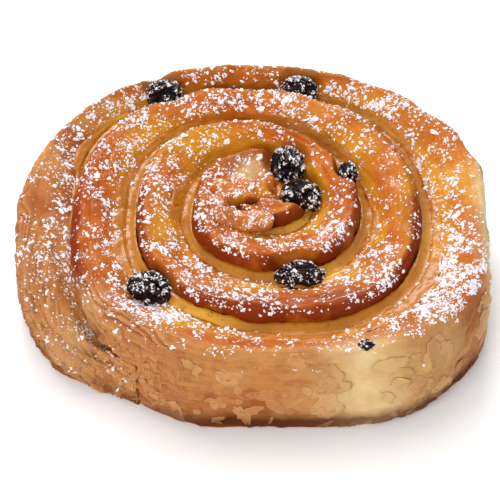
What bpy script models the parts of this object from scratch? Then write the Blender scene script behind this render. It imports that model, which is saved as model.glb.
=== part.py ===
"""Danish pastry: one strip of layered dough rolled up into a flat spiral, with
custard between its turns and raisins pressed into the grooves.

Lengths at the top are in millimetres and are turned to metres by MM.
Angles count clockwise (seen from above) from the strip's outer end.
+Z is up, the flat baked base lies on z = 0, and +X is the long way across.
"""
import bpy
import bmesh
import numpy as np
from math import cos, pi, radians, sin
from mathutils import Euler, Matrix, Vector

MM = 0.001

# ---- driving dimensions ----
SPIRAL_CENTRE = (2.0, -0.5)        # where the roll winds in to, in the plan
END_ANGLE = 225.0                  # direction of the zero of the turn count
GROOVE_RADII = (                   # the groove's distance from the centre,
    52.0,                          # one for each eighth of a turn
    51.0, 45.5, 47.5, 42.5, 42.0, 39.0, 40.5, 36.5,
    34.5, 30.5, 33.0, 29.5, 26.2, 26.0, 25.5, 21.5,
    19.5, 17.0, 18.0, 18.8, 15.0, 12.2, 10.0, 8.0,
    5.5, 2.8, 1.2, 0.5, 0.4, 0.4, 0.4, 0.4, 0.4, 0.4, 0.4)
OUTER_RADII = (57.0, 59.2, 56.2, 51.6, 54.8, 60.0, 58.6, 49.4)
KISS_FACE = (58.2, 56.3, 43.0)     # flat side: x at its back, x at its front, length
CROWN_HEIGHTS = (25.4, 26.5, 27.0, 27.7, 27.4, 26.5, 25.8, 25.4)
CROWN_RISE = 0.60                  # higher by this for each turn inwards
CUSTARD_HALF = 0.9                 # half of the custard's thickness
CUSTARD_TOP = 23.0
GAP = 0.3                          # clearance between neighbouring solids
STRIP_START = -0.03                # turns
STRIP_END = 4.08
CUSTARD_START = 0.10
CUSTARD_END = 2.94
STEP_DOWN = (0.86, 0.965)          # where the wall dips under the strip's end
END_TAPER = 3.0                    # the strip's end is thinner by this
END_DROP = (11.5, 0.12)            # and lower by this, from this many turns in

# name, centre, half sizes, turn about z and tilt about x in degrees
RAISINS = (
    ("raisin_1", (-22.0, 41.0, 24.9), (4.6, 4.0, 3.9), 20, 10),
    ("raisin_2", (13.0, 43.0, 24.7), (4.6, 3.7, 3.7), -18, 8),
    ("raisin_3", (9.0, 13.0, 25.4), (4.3, 5.4, 4.3), -6, 12),
    ("raisin_4", (12.5, 3.2, 24.6), (5.1, 4.2, 4.2), -24, -8),
    ("raisin_5", (24.0, 11.4, 24.6), (2.4, 3.3, 3.2), 8, 10),
    ("raisin_6", (12.0, -22.2, 22.6), (6.0, 3.6, 3.9), 2, -8),
    ("raisin_7", (-23.2, -26.6, 23.2), (5.3, 4.5, 4.2), -30, -6),
    ("raisin_8", (26.0, -45.8, 24.9), (2.1, 1.6, 1.5), 5, 0),
    ("raisin_9", (57.6, -0.5, 12.0), (1.6, 4.2, 3.4), 0, 20),
)
RAISIN_COLUMNS = 10
RAISIN_ROWS = 6

# steps along the strip for each of its turns
DOUGH_STEPS = (44, 36, 28, 20, 20)
CUSTARD_STEPS = (42, 32, 24)


def spline(keys, x):
    """Catmull-Rom value through evenly spaced keys at position x."""
    i = min(max(int(np.floor(x)), 1), len(keys) - 3)
    f = x - i
    a, b, c, d = keys[i - 1:i + 3]
    return 0.5 * (2 * b + (c - a) * f + (2 * a - 5 * b + 4 * c - d) * f * f
                  + (3 * b - a - 3 * c + d) * f ** 3)


def smooth(low, high, x):
    f = min(max((x - low) / (high - low), 0.0), 1.0)
    return f * f * (3 - 2 * f)


def angle(t):
    return radians(END_ANGLE - 360.0 * t)


def groove(t):
    """Radius of the groove after t turns, counted from the outer end."""
    return spline(GROOVE_RADII, 8 * t + 1)


def outline(t):
    """Radius of the outer wall, with the flat side cut off the round."""
    keys = OUTER_RADII[-1:] + OUTER_RADII + OUTER_RADII[:3]
    radius = spline(keys, (8 * t) % 8 + 1)
    back, front, length = KISS_FACE
    normal = Vector((length, front - back)).normalized()
    reach = normal.x * (back - SPIRAL_CENTRE[0]) + normal.y * (length / 6 - SPIRAL_CENTRE[1])
    across = normal.x * cos(angle(t)) + normal.y * sin(angle(t))
    if across > 0.05:
        flat = reach / across
        # rounded corners where the flat meets the round
        radius = -np.log(np.exp(-radius / 0.8) + np.exp(-flat / 0.8)) * 0.8
    return radius - END_TAPER * (1 - smooth(STRIP_START, 0.03, t))


def drop(t):
    """How far the strip's end hangs lower than the rest of its top."""
    return END_DROP[0] * (1 - smooth(STRIP_START, END_DROP[1], t))


def crown(t):
    keys = CROWN_HEIGHTS[-1:] + CROWN_HEIGHTS + CROWN_HEIGHTS[:3]
    return spline(keys, (8 * t) % 8 + 1) + CROWN_RISE * max(t - 0.5, 0.0) - drop(t)


def custard_half(t):
    """Half thickness of the custard, thinner towards both of its ends."""
    ends = smooth(CUSTARD_START - 0.02, 0.2, t) * (1 - smooth(2.6, CUSTARD_END, t))
    return CUSTARD_HALF * (0.35 + 0.65 * ends)


def half_slot(t):
    """Half of the space between two turns of the dough."""
    return custard_half(t) + GAP


def wall_share(t):
    """1 where the strip's outer side is the wall, 0 where a turn covers it."""
    return 1 - smooth(STEP_DOWN[0], STEP_DOWN[1], t)


def dough_ring(t):
    """Points around the strip's section at t, as (radius, height)."""
    inner = max(groove(t) + half_slot(t) * (1 - smooth(3.0, 3.2, t)), 0.5)
    wall = wall_share(t)
    covered = groove(t - 1) - half_slot(t - 1) if t > STEP_DOWN[0] else 0.0
    outer = wall * outline(t) + (1 - wall) * covered
    w = outer - inner
    h = crown(t)
    core = smooth(2.3, 3.1, t)
    floor = 21.4 + 1.7 * core - drop(t)
    # how far each point stands in from the outer side: free wall, covered side
    tuck = lambda free, hid: wall * free + (1 - wall) * hid
    return (
        (inner + 0.10 * w, 0.0), (inner + 0.02 * w, 0.9), (inner, 0.34 * h), (inner, floor),
        (inner + 0.07 * w, floor + 1.2), (inner + 0.23 * w, h - 2.8 + 0.9 * core),
        (inner + 0.42 * w, h - 1.5 + 0.4 * core), (inner + 0.62 * w, h - 0.6),
        (inner + tuck(0.74, 0.80) * w, h),
        (outer - tuck(0.13, 0.07) * w, h - tuck(0.8, 0.8)),
        (outer - tuck(1.1, 0.015 * w), h - tuck(3.4, 2.5)),
        (outer - tuck(0.15, 0.0), 0.69 * h),
        (outer, 0.38 * h), (outer - tuck(0.5, 0.1), 0.10 * h),
        (outer - tuck(1.7, 0.10 * w), 0.0), (inner + 0.5 * w, 0.0))


def custard_ring(t):
    """Points around the custard's section at t: a thin upright slab, dished on top."""
    r, c = groove(t), custard_half(t)
    top = CUSTARD_TOP + 1.2 * smooth(2.2, 2.9, t)
    return ((r - c, 0.5), (r - c, 9.0), (r - c, top + 0.5), (r - 0.3 * c, top - 0.2),
            (r + 0.3 * c, top - 0.2), (r + c, top + 0.5), (r + c, 9.0), (r + c, 0.5))


def stations(start, end, steps):
    """Turn counts of the sections, each whole turn having its own step count."""
    marks, t = [], start
    for turn, count in enumerate(steps):
        stop = min(turn + 1.0, end)
        n = max(round(count * (stop - t)), 2)
        marks += [t + (stop - t) * k / n for k in range(n)]
        t = stop
        if t >= end:
            break
    return marks + [end]


def place(t, radius, height):
    a = angle(t)
    return Vector((SPIRAL_CENTRE[0] + radius * cos(a), SPIRAL_CENTRE[1] + radius * sin(a), height)) * MM


def sweep(bm, ring, marks, blunt):
    """Carry a closed section along the spiral and cap both of its ends."""
    rows = []
    for t in marks:
        points = ring(t)
        mid_r = sum(p[0] for p in points) / len(points)
        # the strip's outer end is pinched a little, so that it is rounded
        pinch = 1 - blunt * (1 - smooth(marks[0], marks[0] + 0.012, t)) * 0.35
        rows.append([bm.verts.new(place(t, mid_r + (r - mid_r) * pinch, z)) for r, z in points])
    n = len(rows[0])
    for a, b in zip(rows, rows[1:]):
        for k in range(n):
            bm.faces.new((a[k], a[(k + 1) % n], b[(k + 1) % n], b[k]))
    for row in (rows[0][::-1], rows[-1]):
        middle = bm.verts.new(sum((v.co for v in row), Vector()) / n)
        for k in range(n):
            bm.faces.new((row[k], row[(k + 1) % n], middle))


def finish_mesh(bm, name):
    bmesh.ops.triangulate(bm, faces=bm.faces)
    bmesh.ops.recalc_face_normals(bm, faces=bm.faces)
    if bm.calc_volume(signed=True) < 0:
        bmesh.ops.reverse_faces(bm, faces=bm.faces)
    mesh = bpy.data.meshes.new(name)
    bm.to_mesh(mesh)
    bm.free()
    mesh.shade_smooth()
    mesh.set_sharp_from_angle(angle=radians(50))
    thing = bpy.data.objects.new(name, mesh)
    bpy.context.scene.collection.objects.link(thing)
    return thing


def raisin_mesh(name, half, grow, turn, tilt):
    """A dried, slightly boxy ovoid with shallow folds running over it."""
    bm = bmesh.new()
    rows = []
    spin = Euler((radians(tilt), 0.0, radians(turn))).to_matrix()
    phase = len(name) + half[0]
    for i in range(1, RAISIN_ROWS):
        lat = pi * i / RAISIN_ROWS - pi / 2
        row = []
        for j in range(RAISIN_COLUMNS):
            lon = 2 * pi * j / RAISIN_COLUMNS
            fold = 1 - 0.05 * (0.5 + 0.5 * sin(3 * lon + phase + 2 * lat)) * cos(lat)
            p = Vector((half[0] * fold * cos(lat) * cos(lon), half[1] * fold * cos(lat) * sin(lon),
                        half[2] * sin(lat)))
            p += p.normalized() * grow
            row.append(bm.verts.new(spin @ p * MM))
        rows.append(row)
    low = bm.verts.new(spin @ Vector((0, 0, -half[2] - grow)) * MM)
    high = bm.verts.new(spin @ Vector((0, 0, half[2] + grow)) * MM)
    n = RAISIN_COLUMNS
    for k in range(n):
        bm.faces.new((low, rows[0][(k + 1) % n], rows[0][k]))
        bm.faces.new((high, rows[-1][k], rows[-1][(k + 1) % n]))
        for a, b in zip(rows, rows[1:]):
            bm.faces.new((a[k], a[(k + 1) % n], b[(k + 1) % n], b[k]))
    return finish_mesh(bm, name)


def material(name, colour, roughness):
    mat = bpy.data.materials.new(name)
    mat.use_nodes = True
    shader = mat.node_tree.nodes["Principled BSDF"]
    shader.inputs["Base Color"].default_value = (*colour, 1.0)
    shader.inputs["Roughness"].default_value = roughness
    shader.inputs["Metallic"].default_value = 0.0
    return mat


def cut(target, cutter):
    change = target.modifiers.new("pocket_" + cutter.name, "BOOLEAN")
    change.operation = "DIFFERENCE"
    change.solver = "EXACT"
    change.object = cutter


def recentre(things):
    """Put the whole pastry's box over the origin, its base on the floor."""
    points = np.array([tuple(t.matrix_world @ v.co) for t in things for v in t.data.vertices])
    low, high = points.min(axis=0), points.max(axis=0)
    return Vector((-(low[0] + high[0]) / 2, -(low[1] + high[1]) / 2, -low[2]))


def main():
    for thing in list(bpy.data.objects):
        bpy.data.objects.remove(thing, do_unlink=True)

    bm = bmesh.new()
    sweep(bm, dough_ring, stations(STRIP_START, STRIP_END, DOUGH_STEPS), 1)
    dough = finish_mesh(bm, "dough")
    dough.data.materials.append(material("baked_dough", (0.60, 0.27, 0.07), 0.42))

    bm = bmesh.new()
    sweep(bm, custard_ring, stations(CUSTARD_START, CUSTARD_END, CUSTARD_STEPS), 0)
    custard = finish_mesh(bm, "custard")
    custard.data.materials.append(material("custard", (0.80, 0.48, 0.08), 0.35))

    fruit = material("raisin", (0.035, 0.014, 0.012), 0.5)
    raisins, pockets = [], []
    for name, centre, half, turn, tilt in RAISINS:
        raisin = raisin_mesh(name, half, 0.0, turn, tilt)
        raisin.data.materials.append(fruit)
        raisin.location = Vector(centre) * MM
        pocket = raisin_mesh("pocket_" + name, half, GAP + 0.05, turn, tilt)
        pocket.location = Vector(centre) * MM
        pocket.hide_render = True
        pocket.display_type = "WIRE"
        raisins.append(raisin)
        pockets.append(pocket)
    bpy.context.view_layer.update()

    shift = recentre([dough, custard] + raisins)
    print('shift', [round(c * 1000, 3) for c in shift])
    for thing in [dough, custard] + raisins + pockets:
        thing.location += shift
    bpy.context.view_layer.update()

    for pocket in pockets:
        for target in (dough, custard):
            reach = (pocket.location - target.location)
            cut_box = [Matrix.Translation(reach) @ v.co for v in pocket.data.vertices]
            if touches(cut_box, target):
                cut(target, pocket)


def touches(points, target):
    """Whether the box around some points reaches the target's mesh at all."""
    low = Vector([min(p[k] for p in points) for k in range(3)])
    high = Vector([max(p[k] for p in points) for k in range(3)])
    for face in target.data.polygons:
        corners = [target.data.vertices[v].co for v in face.vertices]
        if all(min(c[k] for c in corners) < high[k] and max(c[k] for c in corners) > low[k]
               for k in range(3)):
            return True
    return False


main()
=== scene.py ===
import math

import bpy
import numpy as np
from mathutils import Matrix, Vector


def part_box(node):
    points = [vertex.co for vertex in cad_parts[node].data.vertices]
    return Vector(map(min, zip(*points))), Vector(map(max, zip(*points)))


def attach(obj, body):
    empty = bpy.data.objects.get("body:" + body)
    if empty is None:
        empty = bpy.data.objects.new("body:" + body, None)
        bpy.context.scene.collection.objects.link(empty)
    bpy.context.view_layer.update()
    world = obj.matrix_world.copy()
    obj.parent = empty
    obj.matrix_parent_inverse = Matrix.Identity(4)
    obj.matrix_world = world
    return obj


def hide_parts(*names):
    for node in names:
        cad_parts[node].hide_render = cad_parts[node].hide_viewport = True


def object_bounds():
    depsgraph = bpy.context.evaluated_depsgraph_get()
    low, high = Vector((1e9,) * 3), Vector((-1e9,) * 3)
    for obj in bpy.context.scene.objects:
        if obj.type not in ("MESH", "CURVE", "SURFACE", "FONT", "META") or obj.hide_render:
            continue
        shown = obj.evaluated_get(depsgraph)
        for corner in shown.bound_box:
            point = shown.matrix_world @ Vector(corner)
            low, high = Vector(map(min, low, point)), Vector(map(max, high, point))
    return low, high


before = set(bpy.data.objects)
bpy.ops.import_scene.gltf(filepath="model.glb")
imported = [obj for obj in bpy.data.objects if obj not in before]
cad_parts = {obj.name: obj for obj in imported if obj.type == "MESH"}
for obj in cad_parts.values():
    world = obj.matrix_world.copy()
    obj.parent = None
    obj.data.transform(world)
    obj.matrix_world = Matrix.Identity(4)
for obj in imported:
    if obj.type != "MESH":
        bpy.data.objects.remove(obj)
cadBox = [list(corner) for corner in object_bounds()]
bpy.context.scene.view_settings.view_transform = "Standard"
print("frame loaded")

mm = 0.001

# the roll's own shape, as the solids have it: lengths in mm, one key for each eighth of a turn
roll = {
    "centre": (0.988, -0.905),
    "endAngle": 225.0,
    "groove": (52.0, 51.0, 45.5, 47.5, 42.5, 42.0, 40.3, 42.6, 37.8,
               34.5, 30.5, 33.0, 29.5, 26.2, 26.0, 25.5, 21.5,
               19.5, 17.0, 18.0, 18.8, 15.0, 12.2, 10.0, 8.0,
               5.5, 2.8, 1.2, 0.5, 0.4, 0.4, 0.4, 0.4, 0.4, 0.4, 0.4),
    "outer": (57.0, 59.2, 56.2, 51.6, 54.8, 60.0, 58.6, 49.4),
    "kissFace": (58.2, 56.3, 43.0),
    "crown": (25.4, 26.5, 27.0, 27.7, 27.4, 26.5, 25.8, 25.4),
    "crownRise": 0.60,
    "custardHalf": 0.9,
    "custardTop": 23.0,
    "gap": 0.3,
    "start": -0.03,
    "end": 4.08,
    "custardStart": 0.10,
    "custardEnd": 2.94,
    "stepDown": (0.86, 0.965),
    "endTaper": 3.0,
    "endDrop": (11.5, 0.12),
}
lowCorner, highCorner = np.array(cadBox[0]), np.array(cadBox[1])


def smooth(low, high, x):
    # 0 below low, 1 above high, an eased step between
    f = np.clip((np.asarray(x, float) - low) / (high - low), 0.0, 1.0)
    return f * f * (3 - 2 * f)


def spline(keys, x):
    # Catmull-Rom value through evenly spaced keys at every position in x
    keys = np.asarray(keys, float)
    i = np.clip(np.floor(x).astype(int), 1, len(keys) - 3)
    f = x - i
    a, b, c, d = keys[i - 1], keys[i], keys[i + 1], keys[i + 2]
    return 0.5 * (2 * b + (c - a) * f + (2 * a - 5 * b + 4 * c - d) * f * f + (3 * b - a - 3 * c + d) * f ** 3)


def hash3(i, j, k, seed):
    # a steady pseudo-random number from 0 to 1 for each lattice point
    n = (i * 73856093) ^ (j * 19349663) ^ (k * 83492791) ^ (seed * 2654435761)
    n = (n ^ (n >> 13)) * 1274126177 & 0x7FFFFFFF
    n = (n ^ (n >> 16)) * 668265263 & 0x7FFFFFFF
    return ((n ^ (n >> 15)) & 0xFFFFFF) / float(0xFFFFFF)


def noise(p, seed=0):
    # value noise from -1 to 1: lattice numbers blended with quintic weights
    cell = np.floor(p).astype(np.int64)
    f = p - cell
    f = f * f * f * (f * (f * 6 - 15) + 10)
    total = np.zeros(p.shape[:-1])
    for a in (0, 1):
        for b in (0, 1):
            for c in (0, 1):
                w = ((f[..., 0] if a else 1 - f[..., 0]) * (f[..., 1] if b else 1 - f[..., 1])
                     * (f[..., 2] if c else 1 - f[..., 2]))
                total += w * hash3(cell[..., 0] + a, cell[..., 1] + b, cell[..., 2] + c, seed)
    return total * 2 - 1


def fractal(p, octaves=3, seed=0, gain=0.5):
    # noise summed over doubling frequencies
    total, size = 0.0, 1.0
    for k in range(octaves):
        total = total + size * noise(p * 2.0 ** k, seed + 17 * k)
        size *= gain
    return total


def polar(t):
    return np.radians(roll["endAngle"] - 360.0 * np.asarray(t, float))


def groove(t):
    return spline(roll["groove"], 8 * np.asarray(t, float) + 1)


def outline(t):
    # wall radius: a smooth closed curve, less where the flat side cuts it
    t = np.asarray(t, float)
    keys = roll["outer"][-1:] + roll["outer"] + roll["outer"][:3]
    radius = spline(keys, (8 * t) % 8 + 1)
    back, front, length = roll["kissFace"]
    nx, ny = np.array([length, front - back]) / math.hypot(length, front - back)
    reach = nx * (back - 2.0) + ny * (length / 6 + 0.5)
    across = nx * np.cos(polar(t)) + ny * np.sin(polar(t))
    flat = reach / np.maximum(across, 0.05)
    cut = -np.log(np.exp(-radius / 0.8) + np.exp(-np.minimum(flat, 200) / 0.8)) * 0.8
    radius = np.where(across > 0.05, cut, radius)
    return radius - roll["endTaper"] * (1 - smooth(roll["start"], 0.03, t))


def drop(t):
    # how far the strip's end hangs lower than the rest of its top
    return roll["endDrop"][0] * (1 - smooth(roll["start"], roll["endDrop"][1], t))


def crown(t):
    t = np.asarray(t, float)
    keys = roll["crown"][-1:] + roll["crown"] + roll["crown"][:3]
    return spline(keys, (8 * t) % 8 + 1) + roll["crownRise"] * np.maximum(t - 0.5, 0.0) - drop(t)


def custardHalf(t):
    ends = smooth(roll["custardStart"] - 0.02, 0.2, t) * (1 - smooth(2.6, roll["custardEnd"], t))
    return roll["custardHalf"] * (0.35 + 0.65 * ends)


def strip(t):
    # the strip's inner radius, outer radius, crown height and how far it is the free wall
    t = np.asarray(t, float)
    inner = np.maximum(groove(t) + (custardHalf(t) + roll["gap"]) * (1 - smooth(3.0, 3.2, t)), 0.5)
    wall = 1 - smooth(roll["stepDown"][0], roll["stepDown"][1], t)
    before = np.maximum(t - 1, 0.0)
    covered = groove(before) - custardHalf(before) - roll["gap"]
    inner = inner - 2.0 * (1 - smooth(0.13, 0.24, t))         # the strip's end leans on the turn inside it
    outer = wall * outline(t) + (1 - wall) * covered
    outer = inner + (outer - inner) * (0.30 + 0.70 * smooth(roll["start"], 0.035, t))
    return inner, outer, crown(t), wall


def place(t, radius, height):
    a = polar(t)
    x = roll["centre"][0] + radius * np.cos(a)
    y = roll["centre"][1] + radius * np.sin(a)
    return np.stack([x, y, height + 0 * x], axis=-1)


def sectionKeys(t):
    # sixteen key points round the strip's section at each t, as (radius, height)
    inner, outer, h, wall = strip(t)
    w = outer - inner
    core = smooth(2.3, 3.1, t)
    floor = 21.4 + 1.7 * core - drop(t)
    tuck = lambda free, hid: wall * free + (1 - wall) * hid
    points = [
        (inner + 0.10 * w, 0 * w), (inner + 0.02 * w, 0.9 + 0 * w), (inner, 0.34 * h), (inner, floor),
        (inner + 0.07 * w, floor + 1.2), (inner + 0.23 * w, h - 2.8 + 0.9 * core),
        (inner + 0.42 * w, h - 1.5 + 0.4 * core), (inner + 0.62 * w, h - 0.6),
        (inner + tuck(0.74, 0.80) * w, h),
        (outer - tuck(0.13, 0.07) * w, h - tuck(0.8, 0.8)),
        (outer - tuck(1.1, 0.015 * w), h - tuck(3.4, 2.5)),
        (outer - tuck(0.15, 0.0), 0.69 * h),
        (outer, 0.38 * h), (outer - tuck(0.5, 0.1), 0.10 * h),
        (outer - tuck(1.7, 0.10 * w), 0 * w), (inner + 0.5 * w, 0 * w)]
    return np.stack([np.stack(np.broadcast_arrays(r, z), -1) for r, z in points], axis=1)


def closedSpline(keys, s):
    # Catmull-Rom through a ring of keys (stations x keys x 2) at the positions s
    n = keys.shape[1]
    i = np.floor(s).astype(int)
    f = (s - i)[None, :, None]
    a, b, c, d = (keys[:, (i + k) % n] for k in (-1, 0, 1, 2))
    return 0.5 * (2 * b + (c - a) * f + (2 * a - 5 * b + 4 * c - d) * f * f + (3 * b - a - 3 * c + d) * f ** 3)


def gridNormals(p, closedRows=False):
    # unit normals of a grid of points, from the cross product of its two slopes
    along = np.gradient(p, axis=0)
    if closedRows:
        across = (np.roll(p, -1, axis=1) - np.roll(p, 1, axis=1)) / 2
    else:
        across = np.gradient(p, axis=1)
    n = np.cross(along, across)
    return n / (np.linalg.norm(n, axis=-1, keepdims=True) + 1e-12)


def tubeFaces(rows, columns):
    # quads of a grid whose columns close on themselves
    i = np.arange(rows - 1)[:, None] * columns
    j = np.arange(columns)[None, :]
    k = (j + 1) % columns
    return np.stack([i + j, i + k, i + columns + k, i + columns + j], axis=-1).reshape(-1, 4)


def ballGrid(rows, columns):
    # points of a unit ball by latitude and longitude, two poles last, and its outward faces
    lat = np.linspace(-math.pi / 2, math.pi / 2, rows)[1:-1, None]
    lon = np.linspace(0, 2 * math.pi, columns, endpoint=False)[None, :]
    unit = np.stack([np.cos(lat) * np.cos(lon), np.cos(lat) * np.sin(lon), np.sin(lat) + 0 * lon], -1)
    unit = np.concatenate([unit.reshape(-1, 3), [[0, 0, -1.0], [0, 0, 1.0]]])
    n, m = rows - 2, columns
    faces = tubeFaces(n, m).tolist()
    j, k = np.arange(m), (np.arange(m) + 1) % m
    faces += np.stack([k, j, np.full(m, n * m)], -1).tolist()
    faces += np.stack([(n - 1) * m + j, (n - 1) * m + k, np.full(m, n * m + 1)], -1).tolist()
    return unit, faces


def makePiece(name, points, faces, attributes=None, smoothShade=True):
    # points in mm and faces as index rows become one mesh object at the origin
    mesh = bpy.data.meshes.new(name)
    mesh.from_pydata((points * mm).tolist(), [], [list(f) for f in faces])
    mesh.validate()
    mesh.polygons.foreach_set("use_smooth", np.full(len(mesh.polygons), smoothShade))
    for key, values in (attributes or {}).items():
        slot = mesh.attributes.new(key, "FLOAT", "POINT")
        slot.data.foreach_set("value", np.asarray(values, np.float32).ravel())
    mesh.update()
    piece = bpy.data.objects.new(name, mesh)
    bpy.context.scene.collection.objects.link(piece)
    return piece


def squeezed(room, reach):
    # the room left before a side of the box: below reach it shrinks exponentially, never to nothing
    return np.where(room < reach, reach * np.exp((np.minimum(room, reach) - reach) / reach), room)


def insideBox(points, soft=1.0):
    # keep every point in the box of the solids: the last millimetre before each wall is squeezed
    low, high = lowCorner / mm, highCorner / mm
    out = points.copy()
    for axis, reach in ((0, soft), (1, soft), (2, 0.5 * soft)):
        room = high[axis] - out[:, axis]
        out[:, axis] = np.where(room < reach, high[axis] - squeezed(room, reach), out[:, axis])
        if axis < 2:
            room = out[:, axis] - low[axis]
            out[:, axis] = np.where(room < reach, low[axis] + squeezed(room, reach), out[:, axis])
    out[:, 2] = np.maximum(out[:, 2], low[2])
    return out


def newMaterial(name, **values):
    material = bpy.data.materials.new(name)
    material.use_nodes = True
    shader = material.node_tree.nodes["Principled BSDF"]
    for key, value in values.items():
        shader.inputs[key].default_value = value
    return material, material.node_tree, shader


def addNode(tree, kind, inputs=None, **settings):
    node = tree.nodes.new(kind)
    for key, value in settings.items():
        setattr(node, key, value)
    for key, value in (inputs or {}).items():
        if isinstance(value, bpy.types.NodeSocket):
            tree.links.new(value, node.inputs[key])
        else:
            node.inputs[key].default_value = value
    return node


def attribute(tree, name):
    return addNode(tree, "ShaderNodeAttribute", attribute_name=name).outputs["Fac"]


def maths(tree, operation, a, b=0.5, clamp=False):
    return addNode(tree, "ShaderNodeMath", {0: a, 1: b}, operation=operation, use_clamp=clamp).outputs[0]


def blend(tree, factor, a, b):
    node = addNode(tree, "ShaderNodeMix", data_type="RGBA")
    for socket, value in ((node.inputs[0], factor), (node.inputs[6], a), (node.inputs[7], b)):
        if isinstance(value, bpy.types.NodeSocket):
            tree.links.new(value, socket)
        elif isinstance(value, tuple):
            socket.default_value = (*value, 1.0)
        else:
            socket.default_value = value
    return node.outputs[2]


def pattern(tree, scale, detail=3.0, roughness=0.55, distortion=0.0, seed=0.0):
    # fractal noise on object coordinates, shifted by the seed
    spot = addNode(tree, "ShaderNodeTexCoord").outputs["Object"]
    spot = addNode(tree, "ShaderNodeMapping", {"Vector": spot, "Location": (seed, seed * 0.7, -seed)}).outputs[0]
    node = addNode(tree, "ShaderNodeTexNoise", {"Vector": spot, "Scale": scale, "Detail": detail,
                                                "Roughness": roughness, "Distortion": distortion})
    return node.outputs[0]


def steps(tree, value, low, high):
    # a linear ramp from 0 at low to 1 at high
    return addNode(tree, "ShaderNodeMapRange", {"Value": value, "From Min": low, "From Max": high}).outputs[0]


def turnMatrix(turn, tilt):
    a, b = math.radians(turn), math.radians(tilt)
    spin = np.array([[math.cos(a), -math.sin(a), 0], [math.sin(a), math.cos(a), 0], [0, 0, 1]])
    lean = np.array([[1, 0, 0], [0, math.cos(b), -math.sin(b)], [0, math.sin(b), math.cos(b)]])
    return spin @ lean


raisins = {
    "columns": 110, "rows": 64, "fold": 0.26, "crease": 0.10,
    # half sizes in mm, turn about z and tilt about x in degrees, as the solids have them
    "raisin_1": ((4.6, 4.0, 3.9), 20, 10), "raisin_2": ((4.6, 3.7, 3.7), -18, 8),
    "raisin_3": ((4.3, 5.4, 4.3), -6, 12), "raisin_4": ((5.1, 4.2, 4.2), -24, -8),
    "raisin_5": ((2.4, 3.3, 3.2), 8, 10), "raisin_6": ((6.0, 3.6, 3.9), 2, -8),
    "raisin_7": ((5.3, 4.5, 4.2), -30, -6), "raisin_8": ((2.1, 1.6, 1.5), 5, 0),
    "raisin_9": ((1.6, 4.2, 3.4), 0, 20),
}

dough = {
    "stepsOuter": 800,
    "stepsInner": 980,
    "swell": 0.50,       # mm of slow unevenness
    "lumps": 0.16,       # mm of small unevenness
    "layers": 0.10,      # mm of the fine ridges that run along the strip
    "flakes": 0.30,      # mm step at a flake's edge on the wall
    # cracks of the wall: turn at the foot and at the top, half width and depth
    "cracks": ((0.030, 0.100, 0.0034, 1.0), (0.012, 0.066, 0.0022, 0.55), (0.052, 0.128, 0.0020, 0.45)),
    "torn": 0.60,        # mm of the ridges at the strip's torn end
    "squeeze": 0.30,     # how far the middle of the roll is pressed into an oval
    "dips": ("raisin_1", "raisin_2", "raisin_3", "raisin_4", "raisin_5", "raisin_6", "raisin_7"),
    # folds of the middle: dents as x, y, turn in degrees, half sizes and depth in mm
    "middle": {"at": (1.0, 5.0), "half": (14.5, 13.5), "level": 27.6,
               "dents": ((-1.5, 9.5, -20, (4.5, 3.2), 3.4), (-7.0, 5.0, -35, (4.2, 2.4), 1.8),
                         (-1.5, -1.5, 4, (7.0, 0.8), 2.4), (4.0, -7.2, -12, (4.5, 0.8), 2.0),
                         (-9.0, 1.5, 10, (2.2, 1.0), 2.2), (5.5, 1.0, -60, (3.2, 0.9), 3.0),
                         (10.5, -6.0, 20, (4.0, 2.0), 1.6))},
    # places in the plan, in mm: x, y, half widths and strength
    "yellowSpots": ((42, -9, 6, 14, 1.2), (27, 34, 13, 6, 1.1), (40, 8, 5, 13, 1.0), (36, -24, 6, 6, 0.7),
                    (-33, 35, 6, 4, 1.0), (-15, -36, 8, 3.5, 1.3), (18, -23, 7, 4, 1.2), (-13, 21, 9, 5.5, 1.4),
                    (-2, -27, 10, 3, 0.7), (11, -5, 3.5, 3, 1.3), (4, 42, 14, 4, 0.9), (26, 20, 6, 6, 0.7),
                    (-22, -8, 3.5, 10, 0.8), (54, 4, 3.5, 7, 1.3),
                    (-27, 20, 5.5, 9, 1.1), (4, -38, 22, 2.5, 0.5), (-14, -8, 2.5, 8, 0.5), (51, 10, 5, 6, 1.2)),
    # caramel browning with painted shade, by the creases and under the crowns' edges
    "caramelAndShadeSpots": ((4, -36.5, 9, 2.2, 1.3), (-5, -36, 4, 2.5, 1.2), (39, -5, 2.5, 9, 1.2), (29, 29, 8, 3, 0.7),
                  (-4, -20, 9, 2.0, 0.9), (-11, -31, 7, 2.2, 0.9), (-45, 24, 5, 5, 0.7), (-44, 6, 3, 16, 0.6),
                  (18, -32, 12, 2.0, 0.8), (-13, 6, 2.0, 9, 0.6), (22, -14, 5, 3, 0.6), (8, 44, 9, 2.5, 0.8),
                  (-8, 44, 8, 2.5, 0.7), (-26, -24, 5, 4, 0.6), (-29, 0, 2.0, 10, 0.5), (0, -1.5, 5, 1.6, 0.9)),
    # pale unbaked crust, and at (-1.5, 10) a painted highlight of the glaze on the flat middle
    "paleCrustAndHighlightSpots": ((57, -14, 3.0, 17, 1.3), (56.5, 3, 2.8, 7, 1.3), (27, -49, 11, 6, 1.1),
                  (-42, -33, 7, 5, 0.45), (-1.5, 10, 3.4, 3.0, 1.0),
                  (46, -42, 8, 6, 0.5)),
    "glazeSpots": ((33, 30, 6, 3.5, 1), (26, 35, 7, 2.5, 0.9), (-3, 9, 4, 3.5, 1), (-15, -26.4, 4.5, 2.2, 1),
                   (-9, -31, 6, 1.8, 1), (21, -32, 4, 2.2, 0.9), (20, -12, 3.5, 3.5, 0.9), (-38, 4, 3, 7, 0.5),
                   (10, 31, 9, 2.2, 0.6), (-24, 31, 6, 3, 0.6), (33, 6, 2, 9, 0.6), (-22, 2, 2, 8, 0.5),
                   (2, -14, 8, 1.8, 0.6), (40, 22, 4, 4, 0.5)),
    "amberSpots": ((-7, 5.5, 3.6, 2.6, 1.2), (30, 31, 9, 5, 0.4)),
}


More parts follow.
